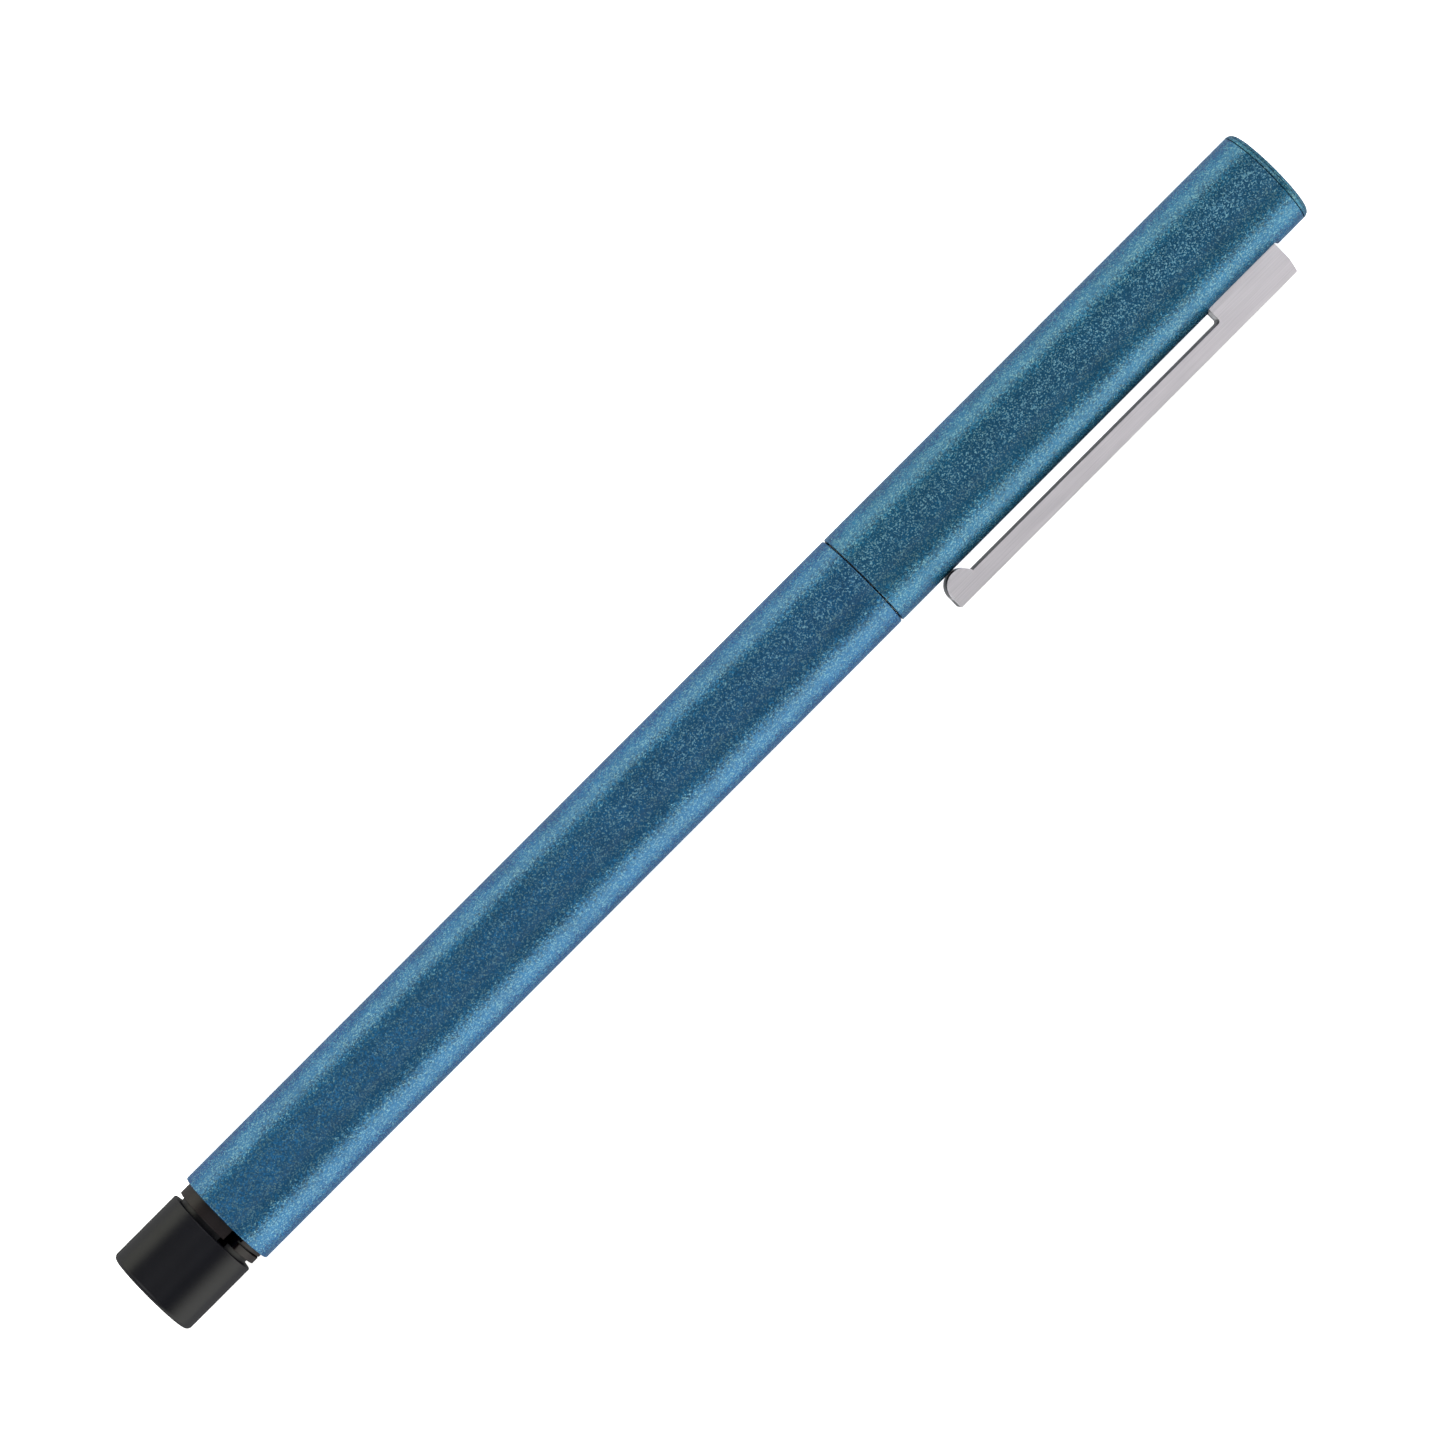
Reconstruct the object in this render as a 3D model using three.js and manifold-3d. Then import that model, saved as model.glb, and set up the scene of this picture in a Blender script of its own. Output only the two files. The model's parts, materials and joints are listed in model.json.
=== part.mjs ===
// A slim capped technical pen for ink drawing, in millimetres. It lies on a table on its barrel and its clip.
// A painted metal barrel holds an ink cartridge. The grip section, which screws into the barrel, carries a
// tubular drawing point whose bore is kept clear by a wire on a sliding drop weight. The cap pulls off along
// the pen, is gripped by a split spring ring, seals the point with a sprung plug and has a pivoting steel clip.
//
// Pen frame, used by every function below: X runs along the pen from the tail to the cap's end, the clip points
// along -Y, and Z is across the clip. The whole pen is then rolled until the clip's corner meets the table.
import * as THREE from "three";
import { mergeVertices } from "three/addons/utils/BufferGeometryUtils.js";
import Module from "manifold-3d";

const wasm = await Module();
wasm.setup();

// ---- driving dimensions -------------------------------------------------------------------------------------
const PEN_LENGTH = 134;
const TUBE_R = 4.75; // outside of the barrel and of the cap
const BARREL_BORE = 4.3;
const CAP_BORE = 4.45;
const FIT = 0.05; // radial clearance between parts that slide or turn
const SEAT = 0.08; // axial gap between faces that meet
const EDGE = 0.14; // broken edge on the tubes' ends

const PLUG_R = 4.42;
const PLUG_END = 7.35; // the tail plug's head runs from 0 to here
const PLUG_CORNER = 0.45;
const NECK_R = 3.73;
const NECK_END = 14.6;
const COLLAR_START = PLUG_END + 0.48;
const COLLAR_END = 13.6;
const COLLAR_GAP = 1.34; // width of the slot through the split collar
const COLLAR_GAP_TURN = 20.5; // degrees from straight across the clip, towards the clip
const COLLAR_SLIT = { start: 8.48, end: 8.65, sweep: 75 };

const BARREL_START = 9;
const BARREL_END = 85.05; // where the cap meets the barrel
const CAP_START = BARREL_END + 0.1;
const CAP_TUBE_END = PEN_LENGTH - 0.72;

const BUSH_START = 75;
const THREAD_R = 3.5;
const THREAD_START = 77.5;
const SHOULDER_START = 86.4;
const SHOULDER_END = 90.5;
const GROOVE = { start: 88, end: 88.9, radius: 3.85 };
const GRIP_R = 3.85;
const GRIP_END = 99;
const SECTION_END = 103.6;
const SECTION_BORE = 2.75;

const CHAMBER = { start: 91, end: 98.3, radius: 1.35 };
const WEIGHT = { start: 93, end: 98, radius: 1.2 };
const WIRE_R = 0.1;
const SPIGOT_R = 1.9;
const CONE_START = SECTION_END + 0.5;
const CONE_END = CONE_START + 6.2;
const STEM_R = 0.72; // thick part of the drawing tube
const POINT_R = 0.35;
const POINT_TIP = 114;

const CARTRIDGE = { start: 26, end: 86.3, radius: 3.38, neckRadius: 2.62, wall: 0.4 };

const LINER_START = 94; // leaves room for the tail plug when the cap is pushed on to the tail
const LINER_END = 118.6;
const CARRIER_END = 132.2;
const SEAL_R = 1.72;
const SEAL_LENGTH = 1.9;

const CLIP_THICK = 3.55;
const CLIP_OUTER = 7.46; // distance of the clip's outer face from the pen's axis
const CLIP_INNER = 5.85;
const CLIP_BALL_R = 1.5;
const CLIP_TIP = 89.3;
const CLIP_ROOT_START = 121.95;
const CLIP_ROOT_END = 129.85;
const CLIP_TOP_SLANT = 0.25;
const SLOT_CLEARANCE = 0.07; // each side of the clip
const SLOT_END = CLIP_ROOT_END + 0.42;
const PIVOT = { x: 127, y: -1.5, pinRadius: 0.6 };
const POCKET_FLOOR = 1.2;
const CLIP_SPRING = { x: 129, radius: 0.55, wire: 0.12 };

const FINE = 48; // sides of the tubes and of what shows beside them
const COARSE = 24; // sides of the inner parts
const SMALL = 16; // sides of pins and of the point

// ---- finishes -----------------------------------------------------------------------------------------------
function finish(color, roughness, metalness = 0) {
  return new THREE.MeshStandardMaterial({ color, roughness, metalness });
}

const paint = () => finish("#2f6f96", 0.42, 0.35);
const blackPlastic = () => finish("#1d1e22", 0.45);
const whitePlastic = () => finish("#e4e2dc", 0.35);
const clearPlastic = () => finish("#c9d3d8", 0.2);
const steel = () => finish("#c3c1c5", 0.32, 1);
const brass = () => finish("#b08d4a", 0.35, 1);
const rubber = () => finish("#2a2a2c", 0.8);

// ---- geometry helpers ---------------------------------------------------------------------------------------
// A solid turned about the pen's axis. The profile lists [along, radius] with the outside running from low to
// high. It starts and ends on the axis, or on the bore's wall, where it is closed here.
function turned(profile, sides = COARSE) {
  const points = profile.map(([along, radius]) => new THREE.Vector2(radius, along));
  const hasBore = profile[0][1] > 0;
  if (hasBore) points.push(points[0].clone());
  return new THREE.LatheGeometry(points, sides).rotateZ(-Math.PI / 2);
}

// A ring or tube with broken outer edges.
function ring(start, end, inner, outer, sides = COARSE, edge = 0.05) {
  const outside = [
    [start, outer - edge],
    [start + edge, outer],
    [end - edge, outer],
    [end, outer - edge],
  ];
  return turned([[start, inner], ...outside, [end, inner]], sides);
}

// Profile points that round the corner between a face at the low end and the outside.
function lowCorner(face, radius, size, steps = 4) {
  const points = [];
  for (let i = 0; i <= steps; i++) {
    const a = ((i / steps) * Math.PI) / 2;
    points.push([face + size * (1 - Math.cos(a)), radius - size * (1 - Math.sin(a))]);
  }
  return points;
}

// The same at a face at the high end.
function highCorner(face, radius, size, steps = 4) {
  return lowCorner(-face, radius, size, steps)
    .map(([along, r]) => [-along, r])
    .reverse();
}

// A flat outline in the XY plane, thickened evenly about Z = 0.
function plate(shape, thickness) {
  const options = { depth: thickness, bevelEnabled: false, curveSegments: 10 };
  return new THREE.ExtrudeGeometry(shape, options).translate(0, 0, -thickness / 2);
}

function block(x0, x1, y0, y1, z0, z1) {
  const box = new THREE.BoxGeometry(x1 - x0, y1 - y0, z1 - z0);
  return box.translate((x0 + x1) / 2, (y0 + y1) / 2, (z0 + z1) / 2);
}

// A round rod across the pen, parallel to Z.
function crossRod(x, y, radius, length) {
  const rod = new THREE.CylinderGeometry(radius, radius, length, SMALL);
  return rod.rotateX(Math.PI / 2).translate(x, y, 0);
}

class Helix extends THREE.Curve {
  constructor(radius, height, turns) {
    super();
    Object.assign(this, { radius, height, turns });
  }
  getPoint(t, target = new THREE.Vector3()) {
    const a = t * this.turns * 2 * Math.PI;
    return target.set(this.radius * Math.cos(a), t * this.height, this.radius * Math.sin(a));
  }
}

// A compression spring that stands along +Y, with its wire's ends inside the height given.
function coilSpring(radius, wire, height, turns) {
  const section = new THREE.Shape().absarc(0, 0, wire, 0, 2 * Math.PI);
  const extrudePath = new Helix(radius, height - 2 * wire, turns);
  const options = { steps: turns * 12, curveSegments: 3, bevelEnabled: false, extrudePath };
  return new THREE.ExtrudeGeometry(section, options).translate(0, wire, 0);
}

function solid(geometry) {
  const bare = geometry.clone();
  bare.deleteAttribute("normal");
  bare.deleteAttribute("uv");
  const merged = mergeVertices(bare, 1e-4);
  const vertProperties = merged.attributes.position.array;
  const triVerts = new Uint32Array(merged.index.array);
  return new wasm.Manifold(new wasm.Mesh({ numProp: 3, vertProperties, triVerts }));
}

function cut(geometry, ...tools) {
  let left = solid(geometry);
  for (const tool of tools) {
    left = left.subtract(solid(tool));
  }
  const mesh = left.getMesh();
  const made = new THREE.BufferGeometry();
  made.setAttribute("position", new THREE.BufferAttribute(new Float32Array(mesh.vertProperties), 3));
  made.setIndex(new THREE.BufferAttribute(new Uint32Array(mesh.triVerts), 1));
  made.computeVertexNormals();
  return made;
}

function named(name, geometry, material) {
  const mesh = new THREE.Mesh(geometry, material);
  mesh.name = name;
  return mesh;
}

// ---- barrel and tail ----------------------------------------------------------------------------------------
function endPlug() {
  const bore = 2.4;
  const floor = 2;
  const profile = [
    [0, 0],
    ...lowCorner(0, PLUG_R, PLUG_CORNER),
    [PLUG_END - 0.1, PLUG_R],
    [PLUG_END, PLUG_R - 0.1],
    [PLUG_END, NECK_R],
    [NECK_END, NECK_R],
    [NECK_END, bore],
    [floor, bore],
    [floor, 0],
  ];
  return turned(profile, FINE);
}

// The split sleeve that grips the barrel's bore. The slit beside its slot leaves a springy tongue.
function snapCollar() {
  const sleeve = ring(COLLAR_START, COLLAR_END, NECK_R + FIT, BARREL_BORE - FIT, FINE, 0.07);
  const reach = TUBE_R + 1;
  const turn = THREE.MathUtils.degToRad(90 + COLLAR_GAP_TURN); // about X, from +Y towards +Z and the clip
  const slot = block(COLLAR_START - 1, COLLAR_END + 1, 1, reach, -COLLAR_GAP / 2, COLLAR_GAP / 2);
  slot.rotateX(turn);
  const sweep = THREE.MathUtils.degToRad(COLLAR_SLIT.sweep);
  const sector = new THREE.Shape();
  sector.moveTo(0, 0);
  sector.absarc(0, 0, reach, turn + Math.PI / 2, turn + Math.PI / 2 + sweep);
  sector.closePath();
  const options = { depth: COLLAR_SLIT.end - COLLAR_SLIT.start, bevelEnabled: false, curveSegments: 8 };
  const slit = new THREE.ExtrudeGeometry(sector, options);
  slit.rotateY(Math.PI / 2).translate(COLLAR_SLIT.start, 0, 0);
  return cut(sleeve, slot, slit);
}

function barrelBush() {
  return ring(BUSH_START, BARREL_END - 0.3, THREAD_R + FIT, BARREL_BORE - FIT);
}

// ---- grip section and drawing point -------------------------------------------------------------------------
function gripSection() {
  const shoulder = CAP_BORE - FIT;
  return turned([
    [THREAD_START, SECTION_BORE],
    [THREAD_START, THREAD_R - 0.2],
    [THREAD_START + 0.2, THREAD_R],
    [BARREL_END - 0.1, THREAD_R],
    [BARREL_END, THREAD_R - 0.1],
    [SHOULDER_START, THREAD_R - 0.1],
    [SHOULDER_START, shoulder - 0.1],
    [SHOULDER_START + 0.1, shoulder],
    [GROOVE.start, shoulder],
    [GROOVE.start, GROOVE.radius],
    [GROOVE.end, GROOVE.radius],
    [GROOVE.end, shoulder],
    [SHOULDER_END - 0.4, shoulder],
    [SHOULDER_END, GRIP_R],
    [GRIP_END, GRIP_R],
    [GRIP_END + 1.6, GRIP_R - 0.15],
    [GRIP_END + 3.2, GRIP_R - 0.45],
    [SECTION_END, GRIP_R - 0.75],
    [SECTION_END, SECTION_BORE],
  ]);
}

function capSnapRing() {
  const body = ring(GROOVE.start + SEAT, GROOVE.end - SEAT, GROOVE.radius + FIT, CAP_BORE - 0.03);
  return cut(body, block(GROOVE.start - 1, GROOVE.end + 1, 3, 6, -0.6, 0.6));
}

function nibBody() {
  const radius = SECTION_BORE - FIT;
  const wireway = 0.4;
  const start = 89;
  return turned([
    [start, CHAMBER.radius],
    [start, radius],
    [SECTION_END - SEAT, radius],
    [SECTION_END - SEAT, wireway],
    [CHAMBER.end, wireway],
    [CHAMBER.end, CHAMBER.radius],
  ]);
}

function nibRetainer() {
  const inkway = 0.5;
  const start = 79.5;
  const flange = 88.9;
  const plug = CHAMBER.radius - FIT;
  return turned([
    [start, inkway],
    [start, SPIGOT_R - 0.2],
    [start + 0.2, SPIGOT_R],
    [flange, SPIGOT_R],
    [flange, plug],
    [CHAMBER.start, plug],
    [CHAMBER.start, inkway],
  ]);
}

function nibCone() {
  const base = 3.02;
  const bore = STEM_R + FIT;
  return turned([
    [CONE_START, bore],
    [CONE_START, base - 0.1],
    [CONE_START + 0.1, base],
    [CONE_START + 0.9, base],
    [CONE_END - 0.6, 1.25],
    [CONE_END, 1.05],
    [CONE_END, bore],
  ]);
}

function nibTube() {
  const bore = 0.18;
  const step = 110.7;
  const profile = [
    [SECTION_END, bore],
    [SECTION_END, STEM_R],
    [step, STEM_R],
    [step + 0.3, POINT_R],
    [POINT_TIP, POINT_R],
    [POINT_TIP, bore],
  ];
  return turned(profile, SMALL);
}

function cleaningWire() {
  const start = WEIGHT.start + 1;
  const end = POINT_TIP - 0.06;
  const wire = new THREE.CylinderGeometry(WIRE_R, WIRE_R, end - start, 8);
  return wire.rotateZ(-Math.PI / 2).translate((start + end) / 2, 0, 0);
}

function inkCartridge() {
  const { start, end, radius, neckRadius, wall } = CARTRIDGE;
  const shoulder = 75.6;
  return turned([
    [start, 0],
    [start, radius - 0.5],
    [start + 0.5, radius],
    [shoulder, radius],
    [shoulder + 1, neckRadius],
    [end, neckRadius],
    [end, SPIGOT_R + FIT],
    [shoulder + 1, SPIGOT_R + FIT],
    [shoulder, radius - wall],
    [start + 1, radius - wall],
    [start + 1, 0],
  ]);
}

// ---- cap ----------------------------------------------------------------------------------------------------
// A rounded rectangle in the XZ plane, extruded along Y through the clip's side of the tube.
function slotCutter() {
  const low = CLIP_ROOT_START - 0.12;
  const half = CLIP_THICK / 2 + SLOT_CLEARANCE;
  const corner = 0.45;
  const shape = new THREE.Shape();
  shape.moveTo(low + corner, -half);
  shape.absarc(SLOT_END - corner, corner - half, corner, -Math.PI / 2, 0);
  shape.absarc(SLOT_END - corner, half - corner, corner, 0, Math.PI / 2);
  shape.absarc(low + corner, half - corner, corner, Math.PI / 2, Math.PI);
  shape.absarc(low + corner, corner - half, corner, Math.PI, 1.5 * Math.PI);
  const options = { depth: 3, bevelEnabled: false, curveSegments: 4 };
  return new THREE.ExtrudeGeometry(shape, options).rotateX(Math.PI / 2).translate(0, -3, 0);
}

function capTube() {
  return cut(ring(CAP_START, CAP_TUBE_END, CAP_BORE, TUBE_R, FINE, EDGE), slotCutter());
}

function capEndDisc() {
  const face = CAP_TUBE_END + 0.07;
  const spigot = CAP_BORE - FIT;
  const profile = [
    [face - 0.9, 0],
    [face - 0.9, spigot],
    [face, spigot],
    [face, TUBE_R],
    ...highCorner(PEN_LENGTH, TUBE_R, 0.6),
    [PEN_LENGTH, 0],
  ];
  return turned(profile, FINE);
}

// The liner leaves the cap's mouth clear for the tail plug, then closes in on the drawing point.
function innerCap() {
  const outer = CAP_BORE - FIT;
  const mouth = 4.05;
  const well = SEAL_R + 0.18;
  return turned([
    [LINER_END - 1, 0],
    [LINER_END - 1, well],
    [112, well],
    [105.5, 3.6],
    [100, mouth],
    [LINER_START, mouth],
    [LINER_START, outer],
    [LINER_END, outer],
    [LINER_END, 0],
  ]);
}

function sealPlug() {
  const start = POINT_TIP + 0.1;
  const profile = [
    [start, 0],
    [start, 0.5],
    [start - 0.25, 0.75],
    [start, 1.4],
    [start + 0.25, SEAL_R],
    [start + SEAL_LENGTH, SEAL_R],
    [start + SEAL_LENGTH, 0],
  ];
  return turned(profile);
}

function sealSpring() {
  const start = POINT_TIP + 0.1 + SEAL_LENGTH + SEAT;
  const height = LINER_END - 1 - SEAT - start;
  return coilSpring(1.2, 0.12, height, 3).rotateZ(-Math.PI / 2).translate(start, 0, 0);
}

function clipCarrier() {
  const start = LINER_END + 0.2;
  const radius = CAP_BORE - FIT;
  const half = CLIP_THICK / 2 + SLOT_CLEARANCE;
  const profile = [
    [start, 0],
    [start, radius],
    [CARRIER_END, radius],
    [CARRIER_END, 0],
  ];
  const pocket = block(CLIP_ROOT_START - 0.35, SLOT_END + 0.3, -6, POCKET_FLOOR, -half, half);
  const well = new THREE.CylinderGeometry(0.85, 0.85, 3, SMALL);
  well.translate(CLIP_SPRING.x, POCKET_FLOOR + 1, 0);
  const pinHole = crossRod(PIVOT.x, PIVOT.y, PIVOT.pinRadius + 0.03, 12);
  return cut(turned(profile, FINE), pocket, well, pinHole);
}

function clipSpring() {
  const { x, radius, wire } = CLIP_SPRING;
  const start = POCKET_FLOOR - 0.3 + SEAT;
  const end = POCKET_FLOOR + 2.5 - SEAT;
  return coilSpring(radius, wire, end - start, 4).translate(x, start, 0);
}

// The clip's outline: a straight end face, the bar, the root that goes into the cap, and the ball on the tube.
function clip() {
  const ball = { x: CLIP_TIP + CLIP_BALL_R, y: -(TUBE_R + FIT + CLIP_BALL_R) };
  const meet = Math.asin((-CLIP_INNER - ball.y) / CLIP_BALL_R);
  const rootFloor = POCKET_FLOOR - 0.3;
  const shape = new THREE.Shape();
  shape.moveTo(CLIP_TIP, -CLIP_OUTER);
  shape.lineTo(CLIP_ROOT_END - CLIP_TOP_SLANT, -CLIP_OUTER);
  shape.lineTo(CLIP_ROOT_END, -TUBE_R);
  shape.lineTo(CLIP_ROOT_END, rootFloor);
  shape.lineTo(CLIP_ROOT_START + 2.6, rootFloor);
  shape.lineTo(CLIP_ROOT_START, 1.4 - TUBE_R);
  shape.lineTo(CLIP_ROOT_START, 0.25 - CLIP_INNER);
  shape.lineTo(CLIP_ROOT_START - 0.25, -CLIP_INNER);
  shape.absarc(ball.x, ball.y, CLIP_BALL_R, meet, Math.PI);
  shape.closePath();
  shape.holes.push(new THREE.Path().absarc(PIVOT.x, PIVOT.y, PIVOT.pinRadius + 0.08, 0, 2 * Math.PI, true));
  return plate(shape, CLIP_THICK);
}

// ---- the whole pen, rolled onto its clip --------------------------------------------------------------------
function assemblePen() {
  const pen = new THREE.Group();
  const widthRing = ring(BARREL_END + SEAT, SHOULDER_START - SEAT, THREAD_R, 4.1, COARSE, 0.1);
  const sealRing = ring(SECTION_END + FIT, CONE_START - FIT, 2.2, 2.9);
  const weight = ring(WEIGHT.start, WEIGHT.end, WIRE_R + 0.06, WEIGHT.radius, COARSE, 0.1);
  pen.add(
    named("barrel_tube", ring(BARREL_START, BARREL_END, BARREL_BORE, TUBE_R, FINE, EDGE), paint()),
    named("end_plug", endPlug(), blackPlastic()),
    named("snap_collar", snapCollar(), blackPlastic()),
    named("barrel_bush", barrelBush(), brass()),
    named("line_width_ring", widthRing, whitePlastic()),
    named("grip_section", gripSection(), blackPlastic()),
    named("cap_snap_ring", capSnapRing(), steel()),
    named("nib_body", nibBody(), whitePlastic()),
    named("nib_retainer", nibRetainer(), whitePlastic()),
    named("nib_seal_ring", sealRing, rubber()),
    named("nib_cone", nibCone(), steel()),
    named("nib_tube", nibTube(), steel()),
    named("drop_weight", weight, brass()),
    named("cleaning_wire", cleaningWire(), steel()),
    named("ink_cartridge", inkCartridge(), clearPlastic()),
    named("cap_tube", capTube(), paint()),
    named("cap_end_disc", capEndDisc(), paint()),
    named("inner_cap", innerCap(), blackPlastic()),
    named("seal_plug", sealPlug(), rubber()),
    named("seal_spring", sealSpring(), steel()),
    named("clip_carrier", clipCarrier(), blackPlastic()),
    named("clip_pin", crossRod(PIVOT.x, PIVOT.y, PIVOT.pinRadius, 7.2), steel()),
    named("clip_spring", clipSpring(), steel()),
    named("clip", clip(), steel()),
  );
  return pen;
}

// The roll that brings the clip's lower outer corner down to the table that the barrel lies on.
const cornerReach = Math.hypot(CLIP_OUTER, CLIP_THICK / 2);
const restRoll = Math.asin(TUBE_R / cornerReach) - Math.atan2(CLIP_THICK / 2, CLIP_OUTER);
const clipSide = CLIP_OUTER * Math.cos(restRoll) + (CLIP_THICK / 2) * Math.sin(restRoll);

const pen = assemblePen();
pen.rotation.x = restRoll;
pen.position.set(-PEN_LENGTH / 2, (clipSide - TUBE_R) / 2, TUBE_R);

const model = new THREE.Group();
model.add(pen);
export default model;
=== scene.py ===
import json
import math

import bmesh
import bpy
from bpy.props import FloatProperty, FloatVectorProperty, IntProperty, PointerProperty
from mathutils import Matrix, Vector


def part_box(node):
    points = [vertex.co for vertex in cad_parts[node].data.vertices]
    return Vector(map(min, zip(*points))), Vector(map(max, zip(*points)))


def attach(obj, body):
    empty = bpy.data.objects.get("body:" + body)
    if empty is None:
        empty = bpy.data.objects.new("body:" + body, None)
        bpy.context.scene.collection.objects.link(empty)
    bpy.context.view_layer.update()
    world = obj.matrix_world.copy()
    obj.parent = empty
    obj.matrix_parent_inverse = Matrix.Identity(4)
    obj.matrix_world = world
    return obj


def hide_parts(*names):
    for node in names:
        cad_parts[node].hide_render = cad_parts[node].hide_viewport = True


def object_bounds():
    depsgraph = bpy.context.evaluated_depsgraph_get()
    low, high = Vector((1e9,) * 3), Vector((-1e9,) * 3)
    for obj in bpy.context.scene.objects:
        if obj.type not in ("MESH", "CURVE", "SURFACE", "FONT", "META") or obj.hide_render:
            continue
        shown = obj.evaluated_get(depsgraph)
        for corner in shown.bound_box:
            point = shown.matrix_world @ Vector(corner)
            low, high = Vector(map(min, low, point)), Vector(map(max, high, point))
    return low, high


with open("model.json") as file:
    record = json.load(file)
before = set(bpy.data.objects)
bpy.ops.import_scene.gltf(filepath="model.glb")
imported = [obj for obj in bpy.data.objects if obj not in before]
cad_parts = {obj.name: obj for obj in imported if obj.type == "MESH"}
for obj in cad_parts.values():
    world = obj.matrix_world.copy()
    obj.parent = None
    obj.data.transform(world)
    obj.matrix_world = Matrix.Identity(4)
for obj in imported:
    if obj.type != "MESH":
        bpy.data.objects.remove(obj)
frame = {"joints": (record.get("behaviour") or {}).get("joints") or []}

bl_info = {
    "name": "Capped technical pen",
    "version": (1, 0, 0),
    "blender": (4, 5, 0),
    "location": "View3D > Sidebar > Pen",
    "description": "Makes a slim capped technical pen around its fixed frame, piece by piece",
    "category": "Add Mesh",
}

# The pen is modelled with its axis on X, its clip along -Y and its far side along +Z. settle() then rolls
# each finished piece on to the clip and sets it on the axis, where the frame has it. Lengths are in metres.
MM = 0.001
CAD_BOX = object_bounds()
TAIL = CAD_BOX[0].x
TUBE_LOW, TUBE_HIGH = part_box("barrel_tube")
AXIS_Y = (TUBE_LOW.y + TUBE_HIGH.y) / 2
AXIS_Z = (TUBE_LOW.z + TUBE_HIGH.z) / 2
JOINTS = {joint["name"]: joint for joint in frame["joints"]}
LIFT_AXIS = JOINTS["clip_lift"]["axis"]
ROLL = math.atan2(-LIFT_AXIS[1], LIFT_AXIS[2])
PIVOT = Vector(JOINTS["clip_lift"]["pos_m"])
PIVOT_DEPTH = (PIVOT.y - AXIS_Y) * math.cos(ROLL) + (PIVOT.z - AXIS_Z) * math.sin(ROLL)
QUARTER_TURN = math.pi / 2
SHARP = math.radians(30)
HAIR = 0.002 * MM  # as near as counts as being at a place
FIT = 0.05 * MM  # between a piece and the bore or the neck that it fits
CLIP_PLAY = 0.07 * MM  # on each side of the clip, in the cap's slot and in its carrier
COLLAR_SLOT_TURN = math.radians(110.5)  # about the axis from +Y, towards the far side and on to the clip


def linear(hex_colour):
    """An sRGB colour such as 1A2B3C as linear red, green, blue and alpha."""
    channels = [int(hex_colour[i : i + 2], 16) / 255 for i in (0, 2, 4)]
    return [c / 12.92 if c <= 0.04045 else ((c + 0.055) / 1.055) ** 2.4 for c in channels] + [1.0]


def length(label, text, millimetres):
    return FloatProperty(name=label, description=text, default=millimetres * MM, unit="LENGTH")


def colour(label, text, hex_colour):
    default = linear(hex_colour)
    return FloatVectorProperty(name=label, description=text, default=default, size=4, subtype="COLOR")


class PenSizes(bpy.types.PropertyGroup):
    """Sizes of the pen's pieces."""

    tube_radius: length("Tube radius", "Outside of the barrel and of the cap", 4.75)
    barrel_bore: length("Barrel bore", "Inside radius of the barrel", 4.30)
    cap_bore: length("Cap bore", "Inside radius of the cap", 4.45)
    plug_radius: length("Plug radius", "Outside of the black plug in the tail", 4.42)
    plug_head: length("Plug head", "Length of the plug outside the barrel", 7.35)
    neck_radius: length("Neck radius", "The plug's neck, seen in the groove", 3.73)
    clip_thickness: length("Clip thickness", "Thickness of the clip's steel plate", 3.55)
    clip_outer: length("Clip outer face", "Its distance from the pen's axis", 7.46)
    clip_inner: length("Clip inner face", "Its distance from the pen's axis", 5.85)
    clip_lobe: length("Clip lobe", "Radius of the round end that rests on the tube", 1.50)
    sides: IntProperty(name="Sides", description="Sides of a round piece", default=160, min=24, max=512)


class PenColours(bpy.types.PropertyGroup):
    """Colours of the pen's finishes."""

    paint: colour("Barrel paint", "Blue pearl lacquer, body colour", "1C4F74")
    cap_paint: colour("Cap paint", "The cap's batch of lacquer, a shade greener", "1A4F6F")
    flake: colour("Flake", "Pearl flakes in the lacquer", "A6D2C6")
    edge_tint: colour("Edge tint", "What the lacquer's flakes give back at a glancing angle", "33698C")
    disc_tint: colour("Disc paint", "The greener lacquer of the cap's end disc", "1B5169")
    black: colour("Black", "Moulded black plastic", "0A0A10")
    collar: colour("Collar", "Moulded brown-black plastic", "140E0F")
    steel: colour("Steel", "Brushed stainless steel", "FBF4FA")
    # Painted shade: the clip's edges towards the tube and the tail are painted dark, standing in for the shade
    # between clip and tube and for a dark reflection.
    painted_shade_edge: colour("Cut edge", "The clip's dark edges, as the press left them", "303032")
    # Painted shade: the clip's outer edge is painted darker than its sides, so that it does not wash out in
    # the lit table's reflection.
    outer_edge_painted_shade: colour("Outer edge", "The clip's outer edge, ground but not brushed", "858487")
    spring: colour("Spring steel", "Drawn spring wire", "A9AAAE")
    brass: colour("Brass", "Turned brass", "C9A765")
    ivory: colour("White plastic", "Moulded off-white plastic", "E6E2D8")
    cartridge: colour("Cartridge", "Translucent plastic", "CBD6DA")
    rubber: colour("Rubber", "Moulded rubber", "2B2B2D")
    floor: colour("Floor", "Pale floor", "F4F4F3")


# ---- materials -----------------------------------------------------------------------------------
def node(tree, kind, settings=None, links=None):
    """Add a node, set its inputs (by name or place) or its own settings, and link its inputs from sockets."""
    made = tree.nodes.new(kind)
    for key, value in (settings or {}).items():
        if isinstance(key, int) or key in made.inputs:
            made.inputs[key].default_value = value
        else:
            setattr(made, key, value)
    for key, socket in (links or {}).items():
        tree.links.new(socket, made.inputs[key])
    return made


def ranged(tree, value, low, high, low_result, high_result):
    """A value mapped from one range to another, kept inside both."""
    settings = {"From Min": low, "From Max": high, "To Min": low_result, "To Max": high_result}
    return node(tree, "ShaderNodeMapRange", settings, {"Value": value}).outputs["Result"]


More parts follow.
